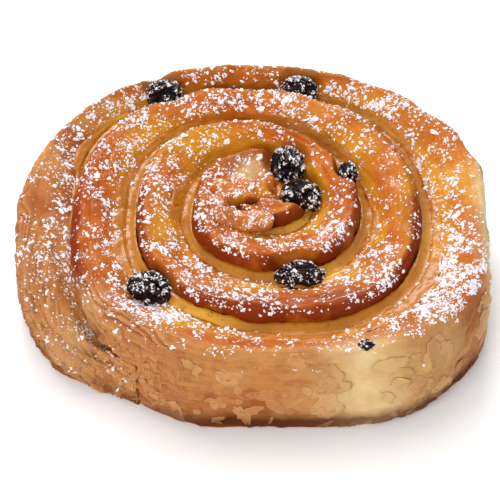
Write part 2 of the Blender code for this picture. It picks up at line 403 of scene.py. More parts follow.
def spots(p, places):
    # bell-shaped patches in the plan, added up
    total = 0.0
    for cx, cy, sx, sy, weight in places:
        total = total + weight * np.exp(-((p[..., 0] - cx) / sx) ** 2 - ((p[..., 1] - cy) / sy) ** 2)
    return total


def sectionPlaces(counts):
    # positions round the section, with its own number of steps between each two keys
    return np.concatenate([k + np.arange(c) / c for k, c in enumerate(counts)])


def squeezeMiddle(p):
    # the roll's middle is pressed in y and stretched in x, less and less outwards
    x, y = p[..., 0] - roll["centre"][0], p[..., 1] - roll["centre"][1]
    f = dough["squeeze"] * np.exp(-(x ** 2 + y ** 2) / 8.0 ** 2)
    q = p.copy()
    q[..., 0] += x * f * 0.9
    q[..., 1] -= y * f
    return q


def foldMiddle(p):
    # the roll's middle collapses into folds: heights there blend to a hollow with facets and slits
    m = dough["middle"]
    x, y, z = p[..., 0], p[..., 1], p[..., 2]
    q = np.hypot((x - m["at"][0]) / m["half"][0], (y - m["at"][1]) / m["half"][1])
    mask = (1 - smooth(0.62, 1.0, q)) * smooth(15, 20, z)
    level = m["level"] + 0.5 * fractal(p[..., :3] * np.array([1, 1, 0.0]) / 3.0, 3, 33)
    for cx, cy, turn, half, depth in m["dents"]:
        a = math.radians(turn)
        u = ((x - cx) * math.cos(a) + (y - cy) * math.sin(a)) / half[0]
        v = (-(x - cx) * math.sin(a) + (y - cy) * math.cos(a)) / half[1]
        level = level - depth * np.exp(-(u ** 4) - v ** 2)
    out = p.copy()
    out[..., 2] = z + (level + 0.25 * (z - 27) - z) * mask
    return out


def restFruit(p):
    # the crust dips under each raisin, so that most of the fruit stands free
    out = p.copy()
    for name in dough["dips"]:
        half, turn, tilt = raisins[name]
        low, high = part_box(name)
        c = np.array([(a + b) / 2 for a, b in zip(low, high)]) / mm
        a = math.radians(turn)
        u = ((p[..., 0] - c[0]) * math.cos(a) + (p[..., 1] - c[1]) * math.sin(a)) / (half[0] + 0.6)
        v = (-(p[..., 0] - c[0]) * math.sin(a) + (p[..., 1] - c[1]) * math.cos(a)) / (half[1] + 0.6)
        q = np.hypot(u, v)
        rest = c[2] - 1.4 + 0.9 * q
        share = (1 - smooth(0.85, 1.35, q)) * smooth(12, 17, p[..., 2])
        out[..., 2] = np.where(out[..., 2] > rest, out[..., 2] + (rest - out[..., 2]) * share, out[..., 2])
    return out


def doughSurface(marks, places):
    # strip section carried along the spiral, pushed along its normal by
    # swell + lumps + layer ridges + flake steps, all from noise on (run, girth)
    keys = sectionKeys(marks)
    ring = closedSpline(keys, places)
    ring[..., 1] = np.maximum(ring[..., 1], 0.0)
    base = squeezeMiddle(place(marks[:, None], ring[..., 0], ring[..., 1]))
    normal = gridNormals(base, closedRows=True)
    inner, outer, h, wall = strip(marks)
    # length along the strip and round the section, in mm
    run = np.concatenate([[0], np.cumsum(np.linalg.norm(np.diff(base.mean(axis=1), axis=0), axis=1))])
    hop = np.linalg.norm(np.diff(ring, axis=1), axis=2)
    girth = np.concatenate([np.zeros((len(marks), 1)), np.cumsum(hop, axis=1)], axis=1)
    u = run[:, None] + 0 * girth
    sheet = np.stack([u, girth, 0 * u], axis=-1)
    marksAll = marks[:, None] + 0 * girth
    outward = (ring[..., 0] - inner[:, None]) / (outer - inner)[:, None]

    upper = smooth(3.0, 4.6, places)[None, :] * (1 - smooth(13.0, 13.8, places))[None, :]
    side = smooth(9.3, 10.4, places)[None, :] * (1 - smooth(13.2, 14.0, places))[None, :]
    bare = wall + (1 - wall) * (1 - smooth(1.0, 1.09, marks))      # wall, or seen over the low end
    freeSide = side * bare[:, None]
    top = smooth(3.4, 4.4, places)[None, :] * (1 - smooth(10.0, 11.0, places))[None, :]
    under = 1 - smooth(0.5, 1.6, np.minimum(places, 16 - places))[None, :] + 0 * u
    ragged = (1 - smooth(0.05, 0.21, marksAll)) + smooth(0.90, 0.97, marksAll) * (1 - smooth(1.02, 1.10, marksAll))

    swell = dough["swell"] * (fractal(base / 9.0, 2, 3) + 0.9 * freeSide * fractal(base / 5.0, 2, 5))
    lumps = dough["lumps"] * fractal(base / 2.2, 3, 11)
    warp = 1.1 * fractal(sheet / np.array([9.0, 4.0, 1.0]), 2, 29)
    ridge = np.abs(np.mod(girth * 0.75 + warp, 1.0) - 0.5) * 4 - 1
    layerMask = np.clip(0.35 + 0.9 * noise(sheet / np.array([16.0, 7.0, 1.0]), 41), 0, 1)
    outerTurn = 1 - smooth(0.98, 1.06, marksAll)
    where = 0.25 + 0.55 * side + 0.5 * outerTurn * smooth(0.6, 0.9, outward)
    layers = dough["layers"] * ridge * layerMask * where
    flakeField = fractal(sheet / np.array([5.5, 3.6, 1.0]) + 0.35 * warp[..., None], 3, 57, 0.55)
    chips = fractal(sheet / np.array([2.4, 1.9, 1.0]) + 0.2 * warp[..., None], 3, 63, 0.6)
    flakes = dough["flakes"] * (smooth(0.02, 0.10, flakeField) + smooth(0.38, 0.44, flakeField)
                                + 0.45 * smooth(0.15, 0.22, chips)) * freeSide
    # torn layers: sawtooth ridges that follow the edge of the end
    saw = np.mod(girth * 0.62 + 0.9 * warp, 1.0)
    torn = dough["torn"] * (saw * 1.6 - 0.8 + 0.4 * chips) * ragged * smooth(6.6, 8.0, places)[None, :] * upper
    crack = 0.0
    for low, high, wide, deep in dough["cracks"]:
        middle = low + (high - low) * np.clip((ring[..., 1] - 3) / 17, -0.2, 1.1) + 0.002 * warp
        band = np.exp(-((marksAll - middle) / wide) ** 2) * side * wall[:, None]
        crack = np.maximum(crack, band * deep)
    push = (swell + lumps) * upper + layers * upper + flakes + torn - 0.22 * freeSide - 1.9 * crack
    moved = restFruit(foldMiddle(base + normal * push[..., None]))
    edge = smooth(0.74, 0.90, outward + 0.05 * flakeField) * top * (1 - outerTurn)

    # looks, each from 0 to 1 or so
    flat = spots(moved, dough["yellowSpots"]) * top
    leftTan = outerTurn * (1 - smooth(0.20, 0.30, marksAll))
    right = smooth(0.35, 0.50, marksAll) * (1 - smooth(0.72, 0.84, marksAll))
    rim = outerTurn * smooth(0.50, 0.78, outward) * (1 - 0.75 * right)
    fields = {
        "wall": freeSide,
        "tan": np.clip(np.maximum(leftTan * top, rim * top) + freeSide + under, 0, 1),
        # height above the floor, for the browning and painted shade towards the floor; the underside gets a middle
        # value
        "height": np.where(under > 0.5, 0.215, ring[..., 1] / 28.0 + 0 * u),
        "flake": np.clip(smooth(0.02, 0.10, flakeField) * 0.5 + smooth(0.38, 0.44, flakeField) * 0.35
                         + smooth(0.15, 0.22, chips) * 0.3, 0, 1),
        # the flank under the next turn and the crown's edge: caramel browning and painted shade, weaker towards the
        # back
        "covered": np.clip(side * (1 - bare[:, None]) + edge, 0, 1) * (1 - 0.55 * smooth(-10, 14, moved[..., 1])),
        "yellow": np.clip(flat + (0.85 + 0.5 * flakeField) * (1 - smooth(0.06, 0.42, outward - 0.08 * warp)) * top
                          * (1 - leftTan), 0, 1.2),
        "glaze": np.clip(spots(moved, dough["glazeSpots"]), 0, 1) * top,
        "run": u * 0.001,
        "girth": girth * 0.001,
        "caramelAndShade": np.clip(spots(moved, dough["caramelAndShadeSpots"]), 0, 1.2) * smooth(-0.5, 0.5, moved[..., 2] - 12),
        "paleCrustAndHighlight": np.clip(spots(moved, dough["paleCrustAndHighlightSpots"]), 0, 1.2),
        "amber": np.clip(spots(moved, dough["amberSpots"]), 0, 1.2) * top,
        "torn": np.clip(ragged, 0, 1) * smooth(6.6, 8.0, places)[None, :] * upper,
        "saw": saw,
        # crack depth, also the mask of the painted shade inside the cracks
        "crack": np.clip(crack * 1.2, 0, 1),
    }
    return moved, fields


def capRing(points, row, reverse, faces, extra):
    # close an end of a tube with a fan to the mean of its ring
    n = points.shape[1]
    first = row * n
    middle = points.shape[0] * points.shape[1] + len(extra)
    extra.append(points[row].mean(axis=0))
    ring = first + np.arange(n)
    nxt = first + (np.arange(n) + 1) % n
    fan = np.stack([ring, nxt, np.full(n, middle)], axis=1)
    faces.append(fan[:, ::-1] if reverse else fan)


def tubePiece(name, points, fields):
    rows, columns = points.shape[:2]
    # the grid runs clockwise, so its quads are turned to face outwards
    faces = [tubeFaces(rows, columns)[:, ::-1]]
    extra = []
    capRing(points, 0, False, faces, extra)
    capRing(points, rows - 1, True, faces, extra)
    flat = np.concatenate([points.reshape(-1, 3), np.array(extra)])
    attributes = {k: np.concatenate([np.broadcast_to(v, (rows, columns)).ravel(), np.zeros(len(extra))])
                  for k, v in fields.items()}
    allFaces = [list(f) for part in faces for f in part]
    return makePiece(name, insideBox(flat), allFaces, attributes)


countsOuter = (2, 3, 4, 5, 8, 10, 10, 9, 7, 7, 12, 12, 12, 8, 4, 2)
countsInner = (2, 2, 3, 6, 10, 12, 12, 10, 8, 9, 12, 6, 3, 2, 2, 2)
marksOuter = np.linspace(roll["start"], 1.0, dough["stepsOuter"])
share = np.linspace(0, 1, dough["stepsInner"])
marksInner = 1.0 + (roll["end"] - 1.0) * share ** 1.12   # closer steps outside
outerPoints, outerFields = doughSurface(marksOuter, sectionPlaces(countsOuter))
innerPoints, innerFields = doughSurface(marksInner, sectionPlaces(countsInner))
outerCoil = tubePiece("outerCoil", outerPoints, outerFields)
innerCoils = tubePiece("innerCoils", innerPoints, innerFields)
print("dough", len(outerCoil.data.polygons), len(innerCoils.data.polygons))


def doughMaterial():
    material, tree, shader = newMaterial("bakedCrust", **{"Roughness": 0.5, "Specular IOR Level": 0.07})
    field = {n: attribute(tree, n) for n in ("tan", "height", "flake", "covered",
                                             "yellow", "caramelAndShade", "paleCrustAndHighlight", "amber", "torn", "saw",
                                             "glaze", "run", "girth", "crack")}
    # streaks that run with the strip, from noise on length and girth
    strands = addNode(tree, "ShaderNodeCombineXYZ", {"X": maths(tree, "MULTIPLY", field["run"], 90.0),
                                                     "Y": maths(tree, "MULTIPLY", field["girth"], 1300.0)}).outputs[0]
    streak = addNode(tree, "ShaderNodeTexNoise", {"Vector": strands, "Scale": 1.0, "Detail": 3.0,
                                                  "Roughness": 0.6, "Distortion": 0.4}).outputs[0]
    coarse = pattern(tree, 95, 4, 0.6)
    fine = pattern(tree, 520, 4, 0.65, seed=3.0)
    patch = pattern(tree, 48, 3, 0.5, 0.5, seed=7.0)
    grain = pattern(tree, 1400, 3, 0.6, seed=5.0)
    # glazed top: golden orange, browner in patches and streaks, freckled
    crust = blend(tree, steps(tree, coarse, 0.36, 0.66), (0.44, 0.110, 0.011), (0.30, 0.052, 0.004))
    crust = blend(tree, maths(tree, "MULTIPLY", steps(tree, fine, 0.5, 0.72), 0.5), crust, (0.50, 0.165, 0.024))
    crust = blend(tree, maths(tree, "MULTIPLY", steps(tree, streak, 0.52, 0.70), 0.55), crust, (0.27, 0.038, 0.003))
    crust = blend(tree, maths(tree, "MULTIPLY", steps(tree, streak, 0.46, 0.30), 0.40), crust, (0.54, 0.19, 0.032))
    # custard yellow by the grooves
    yellow = maths(tree, "MULTIPLY", field["yellow"], steps(tree, coarse, 0.10, 0.44), True)
    custardTint = blend(tree, steps(tree, patch, 0.3, 0.7), (0.53, 0.235, 0.014), (0.45, 0.155, 0.008))
    crust = blend(tree, yellow, crust, custardTint)
    crust = blend(tree, maths(tree, "MULTIPLY", field["amber"], 1.0, True), crust, (0.48, 0.112, 0.006))
    # caramel browning with painted shade: darker under the crown's edge and in the spots by the creases
    caramelAndShade = maths(tree, "MULTIPLY", field["covered"], steps(tree, coarse, 0.24, 0.46), True)
    caramelAndShade = maths(tree, "MAXIMUM", caramelAndShade, maths(tree, "MULTIPLY", field["caramelAndShade"], steps(tree, fine, 0.1, 0.5), True))
    crust = blend(tree, caramelAndShade, crust, (0.185, 0.022, 0.002))
    # plain crust: tan with browner and paler flakes
    tan = blend(tree, steps(tree, patch, 0.40, 0.60), (0.46, 0.192, 0.054), (0.30, 0.082, 0.018))
    tan = blend(tree, maths(tree, "MULTIPLY", field["flake"], 0.6), tan, (0.50, 0.24, 0.080))
    tan = blend(tree, maths(tree, "MULTIPLY", steps(tree, fine, 0.5, 0.7), 0.45), tan, (0.31, 0.095, 0.024))
    tan = blend(tree, maths(tree, "MULTIPLY", steps(tree, streak, 0.52, 0.68), 0.40), tan, (0.30, 0.085, 0.020))
    # darker towards the floor and on the underside: browner baked foot, with painted shade where the wall curves in
    low = maths(tree, "SUBTRACT", 1.0, steps(tree, field["height"], 0.13, 0.27), True)
    low = maths(tree, "MULTIPLY", low, steps(tree, coarse, 0.2, 0.4), True)
    tan = blend(tree, low, tan, (0.085, 0.020, 0.005))
    # caramel browning and painted shade in the same spots on the plain crust
    tan = blend(tree, maths(tree, "MULTIPLY", field["caramelAndShade"], 0.8, True), tan, (0.22, 0.048, 0.009))
    # torn layers: painted shade in the hollows between the ridges, paler on their raised edges
    layer = blend(tree, steps(tree, field["saw"], 0.0, 0.9), (0.24, 0.065, 0.017), (0.50, 0.22, 0.085))
    tan = blend(tree, maths(tree, "MULTIPLY", field["torn"], 0.8, True), tan, layer)
    colour = blend(tree, field["tan"], crust, tan)
    # pale crust in cream, and in the middle a painted glaze highlight in the same cream
    paleCrustAndHighlight = maths(tree, "MULTIPLY", field["paleCrustAndHighlight"], steps(tree, patch, 0.2, 0.5), True)
    paleCrustAndHighlight = maths(tree, "MULTIPLY", paleCrustAndHighlight, maths(tree, "SUBTRACT", 1.0, maths(tree, "MULTIPLY", low, 0.8)), True)
    creamAndHighlight = blend(tree, steps(tree, coarse, 0.35, 0.65), (0.65, 0.48, 0.25), (0.58, 0.36, 0.14))
    colour = blend(tree, paleCrustAndHighlight, colour, creamAndHighlight)
    # painted shade: the cracks nearly black inside
    colour = blend(tree, field["crack"], colour, (0.045, 0.009, 0.003))
    tree.links.new(colour, shader.inputs["Base Color"])
    rough = addNode(tree, "ShaderNodeMapRange", {"Value": field["tan"], "To Min": 0.40, "To Max": 0.62}).outputs[0]
    tree.links.new(rough, shader.inputs["Roughness"])
    glazed = maths(tree, "MULTIPLY", maths(tree, "SUBTRACT", 1.0, field["tan"], True), 0.06)
    glazed = maths(tree, "ADD", glazed, field["glaze"], True)
    glazed = maths(tree, "MULTIPLY", glazed, steps(tree, pattern(tree, 60, 3, 0.55, seed=11.0), 0.34, 0.50), True)
    tree.links.new(glazed, shader.inputs["Coat Weight"])
    shader.inputs["Coat Roughness"].default_value = 0.10
    relief = maths(tree, "ADD", maths(tree, "MULTIPLY", fine, 0.6), maths(tree, "MULTIPLY", grain, 0.25))
    relief = maths(tree, "ADD", relief, maths(tree, "MULTIPLY", streak, 0.8))
    bump = addNode(tree, "ShaderNodeBump", {"Height": relief, "Strength": 0.6, "Distance": 0.0004})
    tree.links.new(bump.outputs[0], shader.inputs["Normal"])
    coatBump = addNode(tree, "ShaderNodeBump", {"Height": fine, "Strength": 0.12, "Distance": 0.0002})
    tree.links.new(coatBump.outputs[0], shader.inputs["Coat Normal"])
    shader.inputs["Subsurface Weight"].default_value = 0.06
    shader.inputs["Subsurface Radius"].default_value = (0.004, 0.0015, 0.0006)
    shader.inputs["Subsurface Scale"].default_value = 1.0
    return material


crustMaterial = doughMaterial()
for piece in (outerCoil, innerCoils):
    piece.data.materials.append(crustMaterial)
    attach(piece, "root")
    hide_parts("dough")


# x, y, z, turn, lean in degrees, half sizes in mm and whether browned or cream
leaves = {"rows": 26, "columns": 44, "places": (
    (-2.4, -6.3, 24.7, -8, 20, (7.4, 2.9, 2.3), 0.55), (3.4, -1.2, 25.4, -14, 24, (5.4, 1.6, 1.5), 0.4),
    (-8.8, -0.6, 25.3, 64, 12, (4.4, 2.6, 2.0), 0.65), (-7.4, 4.2, 26.0, -28, 34, (4.2, 2.2, 1.2), 0.05),
    (-1.8, 2.2, 25.2, -8, 26, (5.0, 1.8, 1.2), 0.45), (5.2, 6.0, 24.9, -66, 10, (4.0, 1.3, 1.4), 0.25))}


def foldLeaves():
    # flattened balls, bent and roughened by noise, lying across the slits in the middle
    unit, quads = ballGrid(leaves["rows"], leaves["columns"])
    allPoints, allFaces, brown = [], [], []
    for number, (x, y, z, turn, lean, half, tone) in enumerate(leaves["places"]):
        square = np.sign(unit) * np.abs(unit) ** 0.8
        body = square * np.array(half)
        body[:, 2] += 0.5 * np.sin(body[:, 0] * 0.7 + number) + 0.06 * body[:, 0] ** 2 * (-1) ** number
        body += 0.24 * unit * fractal(body / 1.8 + 7 * number, 3, 200 + number)[:, None]
        body = body @ turnMatrix(turn, lean).T + np.array([x, y, z])
        allFaces += [[q + number * len(unit) for q in face] for face in quads]
        allPoints.append(body)
        brown.append(np.full(len(unit), tone))
    piece = makePiece("foldLeaves", insideBox(np.concatenate(allPoints)), allFaces,
                      {"brown": np.concatenate(brown)})
    material, tree, shader = newMaterial("foldedCrust", **{"Roughness": 0.45, "Specular IOR Level": 0.2})
    brownField = attribute(tree, "brown")
    mottle = pattern(tree, 380, 4, 0.65, seed=4.0)
    colour = blend(tree, steps(tree, brownField, 0.1, 0.8), (0.52, 0.165, 0.020), (0.34, 0.070, 0.008))
    colour = blend(tree, maths(tree, "MULTIPLY", steps(tree, mottle, 0.42, 0.62), 0.5), colour, (0.50, 0.20, 0.050))
    colour = blend(tree, maths(tree, "MULTIPLY", steps(tree, mottle, 0.46, 0.30), 0.6), colour, (0.20, 0.035, 0.005))
    tree.links.new(colour, shader.inputs["Base Color"])
    bump = addNode(tree, "ShaderNodeBump", {"Height": mottle, "Strength": 0.5, "Distance": 0.0004})
    tree.links.new(bump.outputs[0], shader.inputs["Normal"])
    shader.inputs["Coat Weight"].default_value = 0.25
    shader.inputs["Coat Roughness"].default_value = 0.12
    piece.data.materials.append(material)
    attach(piece, "root")
    print("leaves", len(allFaces))
    every = np.concatenate(allPoints)
    return every, allFaces, np.full(len(every), 0.04)


flakes = {"count": 420, "seed": 5, "rings": (0.4, 0.75, 1.0), "spokes": 18, "size": (1.3, 4.2), "lift": 0.10,
          "thick": 0.07, "peels": ((-3.0, 6.0, 1.7, 3.6, 1.6), (-31, 9.0, 1.5, 2.6, 1.2), (33, 15, 1.4, 2.2, 0.9),
                                   (-22, 5.0, 1.3, 2.2, 0.9), (9, 13, 1.1, 2.0, 0.7), (48, 8, 1.3, 2.3, 0.9),
                                   (-27, 13, 1.6, 3.4, 1.5), (-29, 7, 1.8, 3.0, 1.6), (-25.5, 17, 1.2, 2.6, 1.3),
                                   (-38, 12, 1.4, 3.2, 1.2), (-43, 8, 1.4, 2.6, 1.1), (17, 17, 1.2, 1.8, 0.6))}


def gridSample(grid, i, j):
    # bilinear value of a grid (its columns closed) at fractional places
    rows, columns = grid.shape[:2]
    i = np.clip(i, 0, rows - 1.001)
    a, b = np.floor(i).astype(int), np.floor(j).astype(int)
    f, g = (i - a)[..., None], (j - b)[..., None]
    p, q = b % columns, (b + 1) % columns
    return (grid[a, p] * (1 - f) * (1 - g) + grid[a + 1, p] * f * (1 - g)
            + grid[a, q] * (1 - f) * g + grid[a + 1, q] * f * g)


def wallFlakes():
    # thin irregular sheets laid on the wall's own surface; the rim curls up, a peel lifts at one end
    rng = np.random.default_rng(flakes["seed"])
    grid, looks = outerPoints, outerFields
    normals = gridNormals(grid, closedRows=True)
    free = np.clip(looks["wall"], 0, 1) ** 2 * (grid[..., 2] > 1.5) * (1 - 0.8 * np.clip(looks["paleCrustAndHighlight"], 0, 1))
    stepI = np.linalg.norm(np.gradient(grid, axis=0), axis=-1)
    stepJ = np.linalg.norm((np.roll(grid, -1, axis=1) - np.roll(grid, 1, axis=1)) / 2, axis=-1)
    chance = (free * stepI * stepJ).ravel()
    pick = rng.choice(chance.size, flakes["count"], p=chance / chance.sum())
    ci, cj = np.divmod(pick, grid.shape[1])
    length = np.clip(flakes["size"][0] * np.exp(rng.normal(0.35, 0.45, len(ci))), 0.5, flakes["size"][1])
    width = length * rng.uniform(0.45, 0.95, len(ci))
    curl = flakes["lift"] * rng.uniform(0.4, 1.5, len(ci))
    peel = np.zeros(len(ci))
    for k, (x, z, wide, long, rise) in enumerate(flakes["peels"]):
        gap = (grid[..., 0] - x) ** 2 + (grid[..., 2] - z) ** 2 + 1e4 * (grid[..., 1] > -15)
        ci[k], cj[k] = np.divmod(int(np.argmin(gap)), grid.shape[1])
        length[k], width[k], peel[k] = long, wide, rise
    turn = rng.uniform(-0.9, 0.9, len(ci)) + np.where(rng.random(len(ci)) < 0.6, 0, math.pi / 2)
    spokes = np.linspace(0, 2 * math.pi, flakes["spokes"], endpoint=False)
    wave = 1 + sum(rng.normal(0, 0.20 / k ** 0.5, (len(ci), 1)) * np.cos(k * spokes + rng.uniform(0, 6.3, (len(ci), 1)))
                   for k in (1, 2, 3, 5, 7))
    wave = np.clip(wave, 0.62, 1.38)
    rho = np.array(flakes["rings"])
    a = rho[None, :, None] * (wave * np.cos(spokes))[:, None, :]
    b = rho[None, :, None] * (wave * np.sin(spokes))[:, None, :]
    a = np.concatenate([np.zeros((len(ci), 1)), a.reshape(len(ci), -1)], axis=1)
    b = np.concatenate([np.zeros((len(ci), 1)), b.reshape(len(ci), -1)], axis=1)
    r = np.concatenate([np.zeros(1), np.repeat(rho, len(spokes))])[None, :]
    u, v = a * width[:, None], b * length[:, None]
    c, d = np.cos(turn)[:, None], np.sin(turn)[:, None]
    i = ci[:, None] + (u * c - v * d) / stepI[ci, cj][:, None]
    j = cj[:, None] + (u * d + v * c) / stepJ[ci, cj][:, None]
    skin, n = gridSample(grid, i, j), gridSample(normals, i, j)
    lift = 0.05 + curl[:, None] * r ** 2 + peel[:, None] * np.clip(b, 0, 2) ** 2
    topSide, underSide = skin + n * lift[..., None], skin + n * (lift - flakes["thick"])[..., None]
    m, per = flakes["spokes"], topSide.shape[1]
    k = np.arange(m)
    nxt = (k + 1) % m
    fan = np.stack([0 * k, 1 + k, 1 + nxt], -1)
    bands = [np.stack([1 + q * m + k, 1 + (q + 1) * m + k, 1 + (q + 1) * m + nxt, 1 + q * m + nxt], -1)
             for q in range(len(rho) - 1)]
    rim = 1 + (len(rho) - 1) * m
    shell = [fan.tolist(), (fan[:, ::-1] + per).tolist()] + [x.tolist() for x in bands]
    shell += [(x[:, ::-1] + per).tolist() for x in bands]
    shell += [np.stack([rim + k, rim + per + k, rim + per + nxt, rim + nxt], -1).tolist()]
    one = [face for part in shell for face in part]
    points = np.concatenate([topSide, underSide], axis=1).reshape(-1, 3)
    faces = [[q + 2 * per * f for q in face] for f in range(len(ci)) for face in one]
    tone = np.repeat(rng.random(len(ci)), 2 * per)
    rims = np.tile(np.concatenate([r[0], r[0]]), len(ci))
    paleCrustAndHighlight = np.clip(spots(points, dough["paleCrustAndHighlightSpots"]), 0, 1)
    # flakes near the floor darker: browner foot and painted shade, as on the wall
    base = 1 - smooth(2.5, 6.5, points[:, 2])
    piece = makePiece("wallFlakes", insideBox(points), faces,
                      {"tone": tone, "rim": rims, "paleCrustAndHighlight": paleCrustAndHighlight, "base": base})
    material, tree, shader = newMaterial("thinFlake", **{"Roughness": 0.55, "Specular IOR Level": 0.25})
    toneField, rimField = attribute(tree, "tone"), attribute(tree, "rim")
    colour = blend(tree, steps(tree, toneField, 0.0, 0.5), (0.33, 0.092, 0.020), (0.45, 0.18, 0.048))
    colour = blend(tree, steps(tree, toneField, 0.5, 1.0), colour, (0.51, 0.25, 0.085))
    mottle = steps(tree, pattern(tree, 500, 3), 0.4, 0.7)
    colour = blend(tree, maths(tree, "MULTIPLY", mottle, 0.4), colour, (0.36, 0.11, 0.026))
    colour = blend(tree, maths(tree, "MULTIPLY", steps(tree, rimField, 0.8, 1.0), 0.45), colour, (0.58, 0.34, 0.14))
    colour = blend(tree, maths(tree, "MULTIPLY", attribute(tree, "paleCrustAndHighlight"), 0.85), colour, (0.60, 0.40, 0.17))
    # browner foot and painted shade low on the wall
    colour = blend(tree, maths(tree, "MULTIPLY", attribute(tree, "base"), 0.75), colour, (0.13, 0.034, 0.009))
    tree.links.new(colour, shader.inputs["Base Color"])
    piece.data.materials.append(material)
    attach(piece, "root")
    print("flakes", len(ci), len(faces))


wallFlakes()
leafSurface = foldLeaves()


custard = {"steps": 1300, "spread": 0.24, "lift": 0.25,
           "brightSpots": ((-15, -36, 9, 5, 1.2), (-14, 21, 7, 7, 1.0), (18, -23, 9, 5, 1.0), (11, -6, 5, 4, 1.0),
                           (-33, 35, 8, 5, 0.9), (42, -11, 5, 8, 0.5), (27, 33, 10, 5, 0.5))}


def custardSurface():
    # a ribbon between the turns; its top runs from the covered flank, dips, and
    # climbs the next turn's inner slope, where its edge sinks into the dough
    t = np.linspace(roll["custardStart"], roll["custardEnd"], custard["steps"])
    r, c = groove(t), custardHalf(t)
    inner, outer, h, wall = strip(t)
    w = outer - inner
    core = smooth(2.3, 3.1, t)
    floor = 21.4 + 1.7 * core - drop(t)
    spot = np.stack([t * 14, 0 * t, 0 * t], -1)
    climb = custard["spread"] * (0.75 + 0.5 * noise(spot, 5))
    topX = np.linspace(0, 1, 15)
    # slope of the dough's inner side as (share of width, height)
    xs = np.array([0.0, 0.07, 0.23, 0.42, 0.62])
    zs = np.stack([floor, floor + 1.2, h - 2.8 + 0.9 * core, h - 1.5 + 0.4 * core, h - 0.6], -1)
    share = climb[:, None] * topX[None, :] ** 1.2
    k = np.clip(np.searchsorted(xs, share.ravel()) - 1, 0, 3).reshape(share.shape)
    rows = np.arange(len(t))[:, None]
    f = (share - xs[k]) / (xs[k + 1] - xs[k])
    slope = zs[rows, k] * (1 - f) + zs[rows, k + 1] * f
    height = slope + custard["lift"] * (1 - topX[None, :] ** 3 * 2.2) + 0.9 * (1 - topX[None, :]) ** 3
    radius = inner[:, None] + w[:, None] * share - 0.05
    left = [(r - c + 0.1, 0.5 + 0 * r), (r - c, 9 + 0 * r), (r - c - 0.3, floor + 0.6), (r - c - 0.35, floor + 2.2),
            (r - 0.4 * c, floor + 1.5), (r + 0.3 * c, floor + 1.1)]
    right = [(inner + 0.15, floor - 1.5), (r + c, 9 + 0 * r), (r + c - 0.1, 0.5 + 0 * r)]
    ring = ([np.stack(p, -1) for p in left]
            + [np.stack([radius[:, j], height[:, j]], -1) for j in range(len(topX))]
            + [np.stack([inner + w * climb * 0.6, slope[:, 8] - 0.8], -1)]
            + [np.stack(p, -1) for p in right])
    ring = np.stack(ring, axis=1)
    base = place(t[:, None], ring[..., 0], ring[..., 1])
    normal = gridNormals(base, closedRows=True)
    bumps = 0.22 * fractal(base / 2.6, 3, 77) + 0.10 * fractal(base / 0.9, 2, 78)
    mask = np.zeros(base.shape[1])
    mask[3:21] = 1
    base = base + normal * (bumps * mask)[..., None]
    edge = np.zeros(base.shape[1])
    edge[6:21] = topX
    return base, {"edge": edge[None, :] + 0 * bumps, "bright": np.clip(spots(base, custard["brightSpots"]), 0, 1)}


custardPoints, custardFields = custardSurface()
custardRibbon = tubePiece("custardRibbon", custardPoints, custardFields)


def custardMaterial():
    material, tree, shader = newMaterial("bakedCustard", **{"Roughness": 0.4, "Specular IOR Level": 0.25})
    soft = pattern(tree, 130, 3, 0.5)
    fine = pattern(tree, 700, 3, 0.6, seed=2.0)
    edge = attribute(tree, "edge")
    colour = blend(tree, steps(tree, soft, 0.3, 0.7), (0.42, 0.155, 0.009), (0.33, 0.106, 0.006))
    colour = blend(tree, attribute(tree, "bright"), colour, (0.60, 0.30, 0.03))
    colour = blend(tree, steps(tree, edge, 0.45, 1.0), colour, (0.42, 0.128, 0.007))
    colour = blend(tree, maths(tree, "MULTIPLY", steps(tree, fine, 0.56, 0.68), 0.6), colour, (0.26, 0.075, 0.007))
    tree.links.new(colour, shader.inputs["Base Color"])
    bump = addNode(tree, "ShaderNodeBump", {"Height": fine, "Strength": 0.35, "Distance": 0.0002})
    tree.links.new(bump.outputs[0], shader.inputs["Normal"])
    shader.inputs["Coat Weight"].default_value = 0.22
    shader.inputs["Coat Roughness"].default_value = 0.12
    shader.inputs["Subsurface Weight"].default_value = 0.10
    shader.inputs["Subsurface Radius"].default_value = (0.005, 0.003, 0.001)
    return material


custardRibbon.data.materials.append(custardMaterial())
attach(custardRibbon, "root")
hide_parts("custard")
print("custard", len(custardRibbon.data.polygons))


def raisinSurface(name, seed):
    # an ovoid, folded by sharp-bottomed noise creases that wander along its long axis
    half, turn, tilt = raisins[name]
    half = np.array(half)
    every, quads = ballGrid(raisins["rows"], raisins["columns"])
    longAxis = int(np.argmax(half))
    stretch = np.array([1.0, 1.0, 1.0])
    stretch[longAxis] = 0.45
    q = every * stretch * 1.9 + 0.35 * np.stack([noise(every * 1.7, seed + k) for k in (1, 2, 3)], -1)
    creases = 1 - np.abs(noise(q * 1.3, seed)) * 1.9
    small = 1 - np.abs(noise(q * 3.1, seed + 9)) * 1.7
    depth = raisins["fold"] * np.clip(creases, 0, 1) ** 1.6 + raisins["crease"] * np.clip(small, 0, 1) ** 1.5
    scale = 1.05 - depth
    body = every * half * scale[:, None]
    centre = np.array([(a + b) / 2 for a, b in zip(*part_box(name))]) / mm
    points = body @ turnMatrix(turn, tilt).T + centre
    return points, quads, depth


